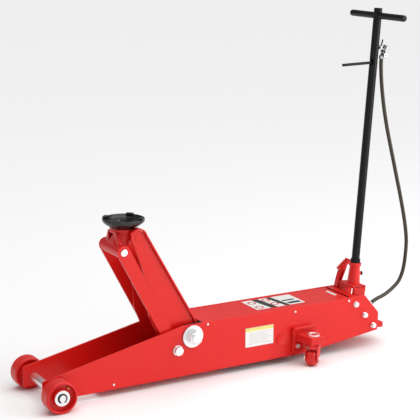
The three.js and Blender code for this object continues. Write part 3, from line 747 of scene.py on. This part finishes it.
# Lift arm, drawn along its own axis: x up the arm, z ahead of it
arm = {
    "length": 442, "inner": 56, "outer": 66, "edge": 1.2, "bossRadius": 30, "bossEnd": 85.9,
    "coverHalf": 75, "coverSheet": 6, "coverGap": 1.6, "lever": (-40.45, 85.96),
}
leverU, leverW = arm["lever"]
edge = [(0, -41), (arm["length"] - 8, -26)]
edge += arc(arm["length"], 0, 27, -88, 90, 20)
edge += rounded([(400, 30), (320, 42), (235, 68), (160, 102), (20, 112)], [0, 60, 60, 60, 0], 8)
edge += arc(leverU, leverW, 20, 104.3, 219, 12)
edge += [(-42, 20)]
edge += arc(0, 0, 42, 188, 258, 12)
for hand, side in hands:
    low, high = sorted((side * arm["inner"], side * arm["outer"]))
    cheek = plate(edge, low, high, edge=arm["edge"])
    boss = rod(arm["bossRadius"], side * (arm["outer"] - 0.5), side * arm["bossEnd"], "y", 1.0, 56, 20.3)
    seam = ringWeld(0, 0, arm["bossRadius"] + 0.6, side * (arm["outer"] + 0.5), 2.8)
    ridge = weld(
        [
            (30, side * arm["outer"], -43.2), (220, side * arm["outer"], -36.4),
            (415, side * arm["outer"], -29.6)
        ]
    )
    piece(
        f"armPlate.{hand}", [cheek, boss, seam, ridge], redEnamel, "lift_arm", armSpace,
        stands=[f"arm_plate_{hand}"],
    )


def coverLine(offset):
    line = [(0, -41 - offset), (arm["length"] - 8, -26 - offset)]
    return line + arc(arm["length"], 0, 27 + offset, -82, 38, 14)


sheetOutline = [*coverLine(arm["coverGap"] + arm["coverSheet"]), *reversed(coverLine(arm["coverGap"]))]
sheet = plate(sheetOutline, -arm["coverHalf"], arm["coverHalf"], edge=0)
windowOutline = rounded([(330, -60), (510, -60), (510, 60), (382, 60), (330, -10)], 8)
noseOutline = [(arm["length"] - 2, 4), (510, 4), (510, 60), (arm["length"] - 2, 60)]
noseTrims = [plate(noseOutline, *sorted((side * 69, side * 80)), edge=0) for hand, side in hands]
folded = soften(carved(sheet, plate(windowOutline, -54, 54, edge=0), *noseTrims), 1.3, 3)
piece("armCover", [folded], redEnamel, "lift_arm", armSpace, stands=["arm_cover"])
hub = rod(34, -55.7, 55.7, "y", 1.2, 56, 20.3)
piece(
    "armHub", [hub, *[ringWeld(0, 0, 34.6, y, 3) for y in (-55, 55)]], redEnamel, "lift_arm", armSpace,
    stands=["arm_hub"]
)
piece(
    "armTopPin", [moved(rod(12, -67.5, 67.5, "y", 1.4), 442, 0, 0)], redEnamel, "lift_arm", armSpace,
    stands=["arm_top_pin"]
)
piece(
    "leverPin", [moved(rod(12, -66, 66, "y", 1.2), leverU, 0, leverW)], oiledSteel, "lift_arm", armSpace,
    stands=["lever_pin"]
)
roller = moved(rod(17, -30, 30, "y", 1.5, 56, 12.3), leverU, 0, leverW)
piece("leverRoller", [roller], oiledSteel, "lift_arm", armSpace, stands=["lever_roller"])
print("lift arm made")

# Saddle yoke with its two cross hubs, flange and front gusset
yoke = {
    "flangeTop": 594, "flangeRadius": 50, "drum": 43, "centreX": 323, "frontHub": 24, "rearHub": 22,
    "frontHalf": 69.4, "rearHalf": 54, "window": [(33, -16), (-13, -18), (20, -48)],
}
top = yoke["flangeTop"]
mid = yoke["centreX"]
frontHub = moved(
    rod(yoke["frontHub"], -yoke["frontHalf"], yoke["frontHalf"], "y", 2, 56), barTop.x, 0, barTop.z
)
rearHub = moved(rod(yoke["rearHub"], -yoke["rearHalf"], yoke["rearHalf"], "y", 2, 56), armTop.x, 0, armTop.z)
flange = moved(rod(yoke["flangeRadius"], top - 11, top, "z", 2, 72), mid, 0, 0)
drum = [(mid + y, z, h) for h in (top - 14, top - 10) for y, _, z in circle(0, 0, yoke["drum"], 0, 60)]
postShape = wrapped(
    [*drum, *circle(armTop.x, armTop.z, 21, -34), *circle(armTop.x, armTop.z, 21, 34)], 1.5, 3
)
shinShape = wrapped(
    [*drum, *circle(barTop.x, barTop.z, 21, -34), *circle(barTop.x, barTop.z, 21, 34)], 1.5, 3
)
brow = corners(mid - 46, mid - 36, -34, 34, top - 12, top - 10)
web = wrapped([*brow, *circle(barTop.x, barTop.z, 10, -60), *circle(barTop.x, barTop.z, 10, 60)], 2, 3)
window = wrapped([(x, y, top + z) for x in (mid - 70, mid - 26) for y, z in yoke["window"]], 3, 3)
shinShape = carved(shinShape, window)
window = wrapped([(x, y, top + z) for x in (mid - 70, mid - 26) for y, z in yoke["window"]], 3, 3)
web = carved(web, window)
piece(
    "saddleYoke", [frontHub, rearHub, flange, postShape, shinShape, web], castEnamel, "yoke",
    stands=["saddle_yoke"]
)
pinEnd = [(0, 80.2), (4, 80.2), (5, 81.2), (10.5, 82.7), (13, 81.2)]
pinLine = [*pinEnd, *[(r, -h) for r, h in reversed(pinEnd)]]
pin = moved(revolved(pinLine, "y", 48), barTop.x, 0, barTop.z)
piece("levellingPin", [pin], zincPlate, "yoke", stands=["levelling_pin"])

# Saddle: dished casting with four lugs
saddle = {"radius": 77, "base": 594.3, "top": 631, "neck": 51, "lugSpread": 11, "lugDepth": 15}
base = saddle["base"]
rim = saddle["radius"]
dish = revolved([
    (0, base - 14), (12, base - 14), (12, base), (saddle["neck"], base), (53, base + 4), (60, base + 8.5),
    (68, base + 14), (74, base + 20), (76.6, base + 26), (rim, 622), (rim, 625), (rim - 1.4, 626.5),
    (rim - 6.6, 626.5),
    (rim - 8, 625), (rim - 11, base + 26), (rim - 17, base + 21), (40, base + 19.5), (37, base + 18),
    (35, base + 21),
    (29, base + 21), (27, base + 16), (0, base + 16),
], "z", 96, 0.7)
lugs = []
for turn in (45, 135, 225, 315):
    spread = [math.radians(s * saddle["lugSpread"] / 3) for s in (-3, -2, -1, 0, 1, 2, 3)]
    outside = [(rim * math.cos(a), rim * math.sin(a)) for a in spread]
    inside = [
        ((rim - saddle["lugDepth"]) * math.cos(a), (rim - saddle["lugDepth"]) * math.sin(a))
        for a in reversed(spread)
    ]
    lug = plate([*outside, *inside], 616, saddle["top"], "z", 1.8, 3)
    lugs.append(turned(lug, turn, "Z"))
saddleParts = [moved(part, mid, 0, 0) for part in (dish, *lugs)]
piece("saddle", saddleParts, castBlack, "saddle_head", stands=["saddle"])
print("saddle made")

# Hydraulic cylinder, ram and cross tube
cylinder = {"z": 88, "front": 660, "rear": 920, "radius": 40, "glandRadius": 43}
barrel = rod(cylinder["radius"], cylinder["front"], cylinder["rear"], "x", 1.5, 64, 17.3)
gland = [rod(cylinder["glandRadius"], x, x + 9, "x", 1, 64, 17.4) for x in (662, 880)]
eyeRing = [*circle(943.5, 100, 38, -38), *circle(900, 88, 36, -38)]
eyeShape = wrapped([*eyeRing, *[(x, 38, z) for x, y, z in eyeRing]], 2)
body = [*(moved(part, 0, 0, cylinder["z"]) for part in (barrel, *gland)), eyeShape]
piece("hydraulicCylinder", body, castEnamel, "chassis", stands=["hydraulic_cylinder"])
crossEnd = [(0, 94.2), (17.6, 94.2), (19.6, 95.8), (23, 95.8), (24.2, 94.4)]
tubeLine = [*crossEnd, *[(r, -h) for r, h in reversed(crossEnd)]]
piece(
    "crossTube", [moved(revolved(tubeLine, "y", 64), 943.5, 0, 100)], redEnamel, "chassis",
    stands=["cross_tube"]
)
ramFace = inChassis(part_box("ram")[0]).x
ramHead = block(ramFace, ramFace + 24, -34, 34, 58, 118, 3)
ramRod = moved(rod(17, ramFace + 20, 745, "x", 1, 56), 0, 0, 88)
piece("ram", [ramHead, ramRod], oiledSteel, "ram_rod", stands=["ram"])

# Oil reservoir, air motor and pump block
tankRing = [
    *circle(-48, 70, 18, 990), *circle(48, 70, 18, 990), *circle(-48, 172, 18, 990), *circle(48, 172, 18, 990)
]
tank = wrapped([(h, y, z) for y, _, z in tankRing for h in (990, 1130)], 4, 3)
filler = moved(hexHead(14, 188, 200, "z"), 1020, 0, 0)
piece("oilReservoir", [tank, filler], castEnamel, "chassis", stands=["oil_reservoir"])
motorLine = [(0, 1131), (15, 1131), (15, 1140), (34, 1140)]
for fin in range(6):
    x = 1150 + fin * 12
    motorLine += [(34, x), (31, x + 1), (31, x + 5), (34, x + 6)]
motorLine += [(34, 1225), (40, 1225), (40, 1235), (0, 1235)]
motor = moved(revolved(motorLine, "x", 64, 0.8), 0, -32, 150)
piece("airMotor", [motor], oiledSteel, "chassis", stands=["air_motor"])
for name, material in (("pump_block", castEnamel), ("pump_piston", oiledSteel)):
    shown = frame["nodes"][name]
    shown.data.materials.clear()
    shown.data.materials.append(material)
    fuse = shown.modifiers.new("fuse", "WELD")
    fuse.merge_threshold = 0.00001
    rounding = shown.modifiers.new("rounding", "BEVEL")
    rounding.width = 0.0012
    rounding.segments = 2
    rounding.angle_limit = math.radians(35)
    rounding.harden_normals = True
print("hydraulics made")

# Rear through bolts
rearBolts = {
    "pedal_bolt": (1288, 189, 6.5), "handle_bolt": (1333, 139, 7), "block_bolt": (1375, 90, 6.5),
}
for index, (name, (x, z, radius)) in enumerate(rearBolts.items()):
    parts = [rod(radius, -102, 102, "y", 0.5, 28)]
    for _, side in hands:
        parts.append(turned(hexHead(10.5, side * 95, side * 103.7, "y"), 17 * index, "Y"))
        parts.append(rod(11.6, side * 93, side * 95.2, "y", 0.4, 40))
    piece(
        name.replace("_b", "B"), [moved(part, x, 0, z) for part in parts], zincPlate, "chassis", stands=[name]
    )

# Tail bar
tail = wrapped(
    [
        *corners(1394.3, 1402, -60, 60, 66, 88), *corners(1446.5, 1447.5, -60, 60, 62, 84),
        *corners(1451.5, 1452.5, -56, 56, 68, 82)
    ],
    3, 3
)
piece("tailBar", [tail], castEnamel, "chassis", stands=["tail_bar"])
print("rear fittings made")

# Swivel casters on their brackets
caster = {"x": 1051, "y": 152, "turn": 41, "radius": 30, "trail": 14, "legInner": 19.5, "legOuter": 25}
for hand, side in hands:
    def near(inner, outer):
        return sorted((side * inner, side * outer))

    flangeOutline = rounded(
        [(988, 40), (1040, 40), (1100, 84), (1100, 128), (1076, 142), (988, 140)], [6, 14, 14, 12, 10, 8]
    )
    flange = plate(flangeOutline, *near(93, 104.7), edge=2.2, segments=3)
    rib = block(990, 1078, *near(94.7, 112.7), 132, 141, 2.5)
    bossBlock = wrapped([
        *corners(1021, 1081, *near(122, 183), 86, 116), *corners(1000, 1090, *near(96.7, 100.7), 86, 116),
    ], 4, 4)
    lip = block(1024, 1078, *near(176, 181), 84, 88, 1.5)
    screw = moved(revolved([
        (0, side * 104), (9.6, side * 104), (9.6, side * 110), (8, side * 112), (5.6, side * 112),
        (5.2, side * 106),
        (0, side * 106),
    ], "y", 40), 1010, 0, 66)
    grease = moved(revolved([
        (0, side * 100), (5, side * 100), (5, side * 112), (2.6, side * 113), (2.6, side * 116),
        (4, side * 117.6),
        (2, side * 120), (0, side * 120),
    ], "y", 24), 1036, 0, 78)
    piece(
        f"casterBracket.{hand}", [flange, rib, bossBlock, lip], castEnamel, "chassis",
        stands=[f"caster_bracket_{hand}"]
    )
    piece(f"bracketScrew.{hand}", [screw], zincPlate, "chassis")
    piece(f"bracketGreaseNipple.{hand}", [grease], brassFitting, "chassis")

    space = turnedSpace((caster["x"], side * caster["y"], 0), -side * caster["turn"], "Z")
    body = f"caster_{hand}"
    stem = rod(14, 78, 117.4, "z", 1.2)
    crown = rod(27, 76, 85.7, "z", 1.5, 64)
    legs = []
    for leg in (-1, 1):
        low, high = sorted((leg * caster["legInner"], leg * caster["legOuter"]))
        legs.append(wrapped([
            *circle(-caster["trail"], caster["radius"], 18, low),
            *circle(-caster["trail"], caster["radius"], 18, high),
            *corners(-26, 24, low, high, 76, 81),
        ], 1.2))
    bridge = block(-26, 24, -25, 25, 76, 81, 1.2)
    piece(
        f"casterFork.{hand}", [stem, crown, *legs, bridge], castEnamel, body, space, [f"caster_fork_{hand}"]
    )
    tyre = revolved([
        (6.3, -17), (10, -17), (11, -15), (21, -14), (23, -17), (26, -17), (30, -12), (30, 12),
        (26, 17), (23, 17), (21, 14), (11, 15), (10, 17), (6.3, 17), (6.3, -17),
    ], "y", 64, 0.8)
    tyre = moved(tyre, -caster["trail"], 0, caster["radius"])
    piece(f"casterWheel.{hand}", [tyre], castEnamel, f"caster_roller_{hand}", space, [f"caster_wheel_{hand}"])
    axleParts = [rod(6, -30, 30, "y", 0.6, 32), hexHead(9, 25.3, 31, "y"), hexHead(9, -25.3, -31, "y")]
    axleParts = [moved(part, -caster["trail"], 0, caster["radius"]) for part in axleParts]
    piece(f"casterAxle.{hand}", axleParts, zincPlate, body, space, [f"caster_axle_{hand}"])
    ring = revolved([
        (14.3, 116.3), (25, 116.3), (25, 120), (23.8, 121), (19, 121), (18, 119.6), (14.3, 119.6),
        (14.3, 116.3),
    ], "z", 64)
    piece(f"casterRing.{hand}", [ring], zincPlate, body, space, [f"caster_ring_{hand}"])
print("casters made")

# Handle socket: forked foot on the middle rear bolt, tapering up to the tube
socket = {
    "cheekInner": 38, "cheekOuter": 50, "archLow": 92, "archTop": 108, "front": -36, "cheekFront": -30,
    "rear": 26, "slotDepth": 3, "slotSides": (-12, 43), "slotHeights": (98, 105.5)
}
parts = []
for _, side in hands:
    low, high = sorted((side * socket["cheekInner"], side * socket["cheekOuter"]))
    points = [*circle(0, 0, 19, low), *circle(-24, -14, 11, low)]
    points += [(x, high, z) for x, y, z in points]
    points += corners(socket["cheekFront"], socket["rear"], low, high, socket["archLow"], socket["archTop"])
    parts.append(wrapped(points, 2.2, 3))
arch = block(socket["front"], socket["rear"], -socket["cheekOuter"], socket["cheekOuter"], 97, 108, 4, 4)
neck = revolved([
    (16.3, 106), (26, 106), (20.3, 178), (24.5, 179.5), (24.5, 190.5), (23, 192), (16.3, 192), (16.3, 106),
], "z", 64, 0.8)
lockBoss = moved(revolved([(0, 14), (7.5, 14), (7.5, 28), (6.5, 29), (0, 29)], "x", 36), 0, 0, 146)
pumpPin = moved(rod(6, -40, 40, "y", 0.5, 32), -24, 0, -14)
slotEnd = socket["front"] + socket["slotDepth"]
archSlot = block(socket["front"] - 2, slotEnd, *socket["slotSides"], *socket["slotHeights"], 0)
arch = carved(arch, archSlot)
piece(
    "handleSocket", [*parts, arch, neck, lockBoss, pumpPin], redEnamel, "handle", handleSpace,
    stands=["handle_socket"],
)
lockScrew = moved(revolved([
    (0, 28.5), (4.5, 28.5), (4.5, 32), (8, 32.6), (8, 36), (7, 37), (3, 37), (2.8, 35), (0, 35),
], "x", 32), 0, 0, 146)
piece("lockScrew", [lockScrew], blackPowder, "handle", handleSpace)

# Handle tube with its crimped ferrule, release lever slot and cross bar
tube = {"radius": 16, "bottom": 126, "top": 1200, "slotHalf": 13.5, "lever": 990, "bar": 1171}
wall = revolved([
    (13, tube["bottom"]), (16, tube["bottom"]), (16, tube["top"] - 1.5), (14.8, tube["top"]),
    (13.4, tube["top"] - 0.6),
    (13, 1192), (0.0, 1192), (0.0, 1190), (13, 1190), (13, tube["bottom"]),
], "z", 72)
slot = block(-40, 0, -tube["slotHalf"], tube["slotHalf"], tube["lever"] - 12, tube["lever"] + 12, 3, 4)
crimps = []
for step in range(24):
    ridge = wrapped([*corners(17.2, 19.6, -1.1, 1.1, 194, 206)], 0.5)
    crimps.append(turned(ridge, step * 15, "Z"))
ferrule = revolved([
    (16, 192.4), (18.6, 192.4), (19.3, 194), (18.4, 196), (18.4, 204), (19.3, 206), (18.6, 208), (16, 208),
    (16, 192.4),
], "z", 64)
beads = [ringWeld(0, 0, 12.2, 0, 2.2) for _ in range(2)]
barWelds = [moved(bead, 0, y, tube["bar"]) for bead, y in zip(beads, (-15.6, 15.6))]
piece(
    "handleTube", [carved(wall, slot), ferrule, *crimps, *barWelds], blackPowder, "handle", handleSpace,
    ["handle_tube"]
)
grip = revolved([
    (0, -168), (9.6, -168), (11.8, -166.6), (12.5, -163.6), (12.5, 163.6), (11.8, 166.6), (9.6, 168),
    (0, 168),
], "y", 48)
piece("crossBar", [moved(grip, 0, 0, tube["bar"])], blackPowder, "handle", handleSpace, ["t_bar"])
finger = turned(revolved([(0, -146), (4.2, -146), (5.5, -144.4), (5.5, 4), (0, 4)], "x", 40), -5.5, "Y")
releaseParts = [rod(7, 130, tube["lever"] + 6, "z", 1, 36), moved(finger, 0, 0, tube["lever"])]
piece("releaseRod", releaseParts, blackPowder, "release", handleSpace, ["release_rod"])

# Wire hook welded to the back of the tube
hook = {"wire": 2.6, "height": 1048, "line": [(16.3, 0), (24, 1), (30, 6), (32.5, 16), (35, 32)]}
hookLine = smoothLine([(x, 0, hook["height"] + z) for x, z in hook["line"]], 8)
hookWeld = weld([(17, -3, hook["height"] - 3), (17.4, 0, hook["height"] - 4), (17, 3, hook["height"] - 3)], 2)
piece(
    "hoseHook", [swept(hookLine, hook["wire"], 16), hookWeld], blackPowder, "handle", handleSpace,
    ["hose_hook"]
)
print("handle made")

# Hand air valve hung on the hook
valve = {"place": (1438.9, -8, 1140)}
valveSpace = turnedSpace(valve["place"], valveLean, "Y")
barrel = revolved([
    (0, 6), (8, 6), (10.4, 7.5), (11, 9), (11, 13), (10.2, 13.8), (10.2, 21), (11, 22), (11, 24), (13.2, 26),
    (14, 27.4),
    (14, 32.6), (13, 33.6), (9, 35), (5.4, 35), (5.4, 22), (0, 22),
], "z", 64)
portLine = [
    (3.5, -12), (3.5, -19.6), (4.5, -20.2), (9, -20.2), (10, -19.2), (10, -13), (9, -12.4), (9, 2), (0, 2)
]
port = moved(revolved([*portLine, (0, -12), (3.5, -12)], "y", 56), 0, 0, 16)
swivel = turned(hexHead(9.5, 0, 12, "z"), -valveLean, "Y")
eye = carved(
    moved(rod(9.5, -24.5, -21, "x", 0.8, 48), 0, 8, 37.8),
    moved(rod(6, -30, -10, "x", 0, 48), 0, 8, 37.8),
)
tab = block(-24, -9, 3, 11, 27.2, 31.3, 1)
piece("airValve", [barrel, port, swivel, eye, tab], chromePlate, "handle", valveSpace, ["air_valve"])
band = revolved([(13.2, 25), (14.3, 26.6), (14.3, 28), (13.2, 28.6), (13.2, 25)], "z", 56)
piece("valveBand", [band], blackPowder, "handle", valveSpace)
knurls = [
    turned(wrapped(corners(11.4, 12.5, -0.55, 0.55, 42.5, 51), 0.3), turn, "Z") for turn in range(0, 360, 12)
]
cap = revolved([
    (0, 38), (13, 38), (13, 40), (12, 41), (12, 52), (11.4, 53.6), (10, 55), (6, 55), (5, 54.2), (0, 54.2),
], "z", 64)
button = [cap, rod(5, 29, 40, "z", 0.3, 32), *knurls]
piece("valveButton", button, chromePlate, "button", valveSpace, ["valve_button"])
print("valve made")

# Foot pedal: channel arm on the upper rear bolt with a toothed pad
pedal = {
    "low": 57, "high": 82, "sheet": 5, "padLength": 60, "padSlope": 38, "padFoot": (1322, 284), "teeth": 6
}
hub = moved(rod(14, pedal["low"], pedal["high"], "y", 1.2, 48, 6.9), 1288, 0, 189)


def bent(start, pull, end, steps=12):
    a, b, c = (Vector(p) for p in (start, pull, end))
    return [a * (1 - t) ** 2 + b * 2 * t * (1 - t) + c * t * t for t in (s / steps for s in range(steps + 1))]


spine = bent((1301, 194), (1304, 246), (1326, 292)) + bent((1350, 300), (1327, 246), (1299, 182))
armBar = plate(spine, pedal["low"], pedal["high"], edge=1)
hollowLine = bent((1305, 226), (1310, 252), (1331, 286)) + bent((1339, 289), (1323, 252), (1313, 226))
hollow = plate(hollowLine, pedal["low"] - 1, pedal["high"] - pedal["sheet"], edge=0)
padLine = [(0, 0), (pedal["padLength"], 0)]
pitch = pedal["padLength"] / pedal["teeth"]
for tooth in reversed(range(pedal["teeth"])):
    start = tooth * pitch
    padLine += [(start + pitch - 0.6, 8.5), (start + 7, 12), (start + 3, 12), (start + 0.4, 8.5)]
pad = turned(plate(padLine, pedal["low"] - 2, pedal["high"] + 3, edge=0.7), -pedal["padSlope"], "Y")
footX, footZ = pedal["padFoot"]
pedalParts = [hub, carved(armBar, hollow), moved(pad, footX, 0, footZ)]
piece("footPedal", pedalParts, redEnamel, "pedal", stands=["foot_pedal"])

# Hose fitting on the pump block
fitting = {"x": 1372, "y": -66, "foot": 104.3}
foot = [hexHead(10, fitting["foot"], 112, "z"), rod(7, 108, 170, "z", 1, 40), hexHead(9, 146, 158, "z")]
outlet = (Vector(hoseShape["route"][1]) - Vector(hoseShape["route"][0])).normalized()
tiltSpace = Matrix.Translation(
    (fitting["x"], fitting["y"], 168)
) @ outlet.to_track_quat("X", "Z").to_matrix().to_4x4()
spigot = revolved([
    (0, -8), (8, -8), (8, 4), (9.4, 5), (9.4, 7.5), (8.6, 8.2), (8.6, 10.6), (0, 10.6),
], "x", 48)
bmesh.ops.transform(spigot, matrix=tiltSpace, verts=spigot.verts)
elbow = [moved(part, fitting["x"], fitting["y"], 0) for part in foot]
piece("hoseFitting", [*elbow, spigot], zincPlate, "chassis", stands=["hose_fitting"])
print("pedal and fitting made")

# Floor and lights
floorMesh = bpy.data.meshes.new("floor")
floorShape = bmesh.new()
bmesh.ops.create_grid(floorShape, x_segments=1, y_segments=1, size=30)
floorShape.to_mesh(floorMesh)
floorShape.free()
floor = bpy.data.objects.new("floor", floorMesh)
bpy.context.collection.objects.link(floor)
paper = bpy.data.materials.new("palePaper")
paper.use_nodes = True
paper.node_tree.nodes["Principled BSDF"].inputs["Base Color"].default_value = (0.9, 0.9, 0.9, 1)
paper.node_tree.nodes["Principled BSDF"].inputs["Roughness"].default_value = 0.9
floorMesh.materials.append(paper)

lighting = {
    "sky": 0.26,
    "ceiling": {"tilt": (4, 8), "spread": 75, "strength": 2.3},
    "lamps": [
        {"name": "rightSoftbox", "place": (3.2, -2.4, 1.9), "aim": (0.1, 0, 0.35), "size": 2.6, "power": 80},
        {"name": "frontCard", "place": (2.3, -4.2, 0.9), "aim": (0.1, 0, 0.2), "size": 1.8, "power": 28},
        {"name": "leftFill", "place": (-3.4, -3.0, 1.7), "aim": (-0.2, 0, 0.3), "size": 2.2, "power": 16},
    ],
}
world = bpy.data.worlds.new("studio")
world.use_nodes = True
world.node_tree.nodes["Background"].inputs["Color"].default_value = (1, 1, 1, 1)
world.node_tree.nodes["Background"].inputs["Strength"].default_value = lighting["sky"]
bpy.context.scene.world = world
bpy.context.scene.view_settings.view_transform = "Standard"
ceiling = bpy.data.objects.new("ceilingLight", bpy.data.lights.new("ceilingLight", "SUN"))
ceiling.data.energy = lighting["ceiling"]["strength"]
ceiling.data.angle = math.radians(lighting["ceiling"]["spread"])
ceiling.rotation_euler = [math.radians(turn) for turn in (*lighting["ceiling"]["tilt"], 0)]
bpy.context.collection.objects.link(ceiling)
for lamp in lighting["lamps"]:
    made = bpy.data.objects.new(lamp["name"], bpy.data.lights.new(lamp["name"], "AREA"))
    made.data.size = lamp["size"]
    made.data.energy = lamp["power"]
    bpy.context.collection.objects.link(made)
    aim = (Vector(lamp["aim"]) - Vector(lamp["place"])).to_track_quat("-Z", "Y").to_matrix().to_4x4()
    made.matrix_world = Matrix.Translation(lamp["place"]) @ aim
print("floor and lights made")
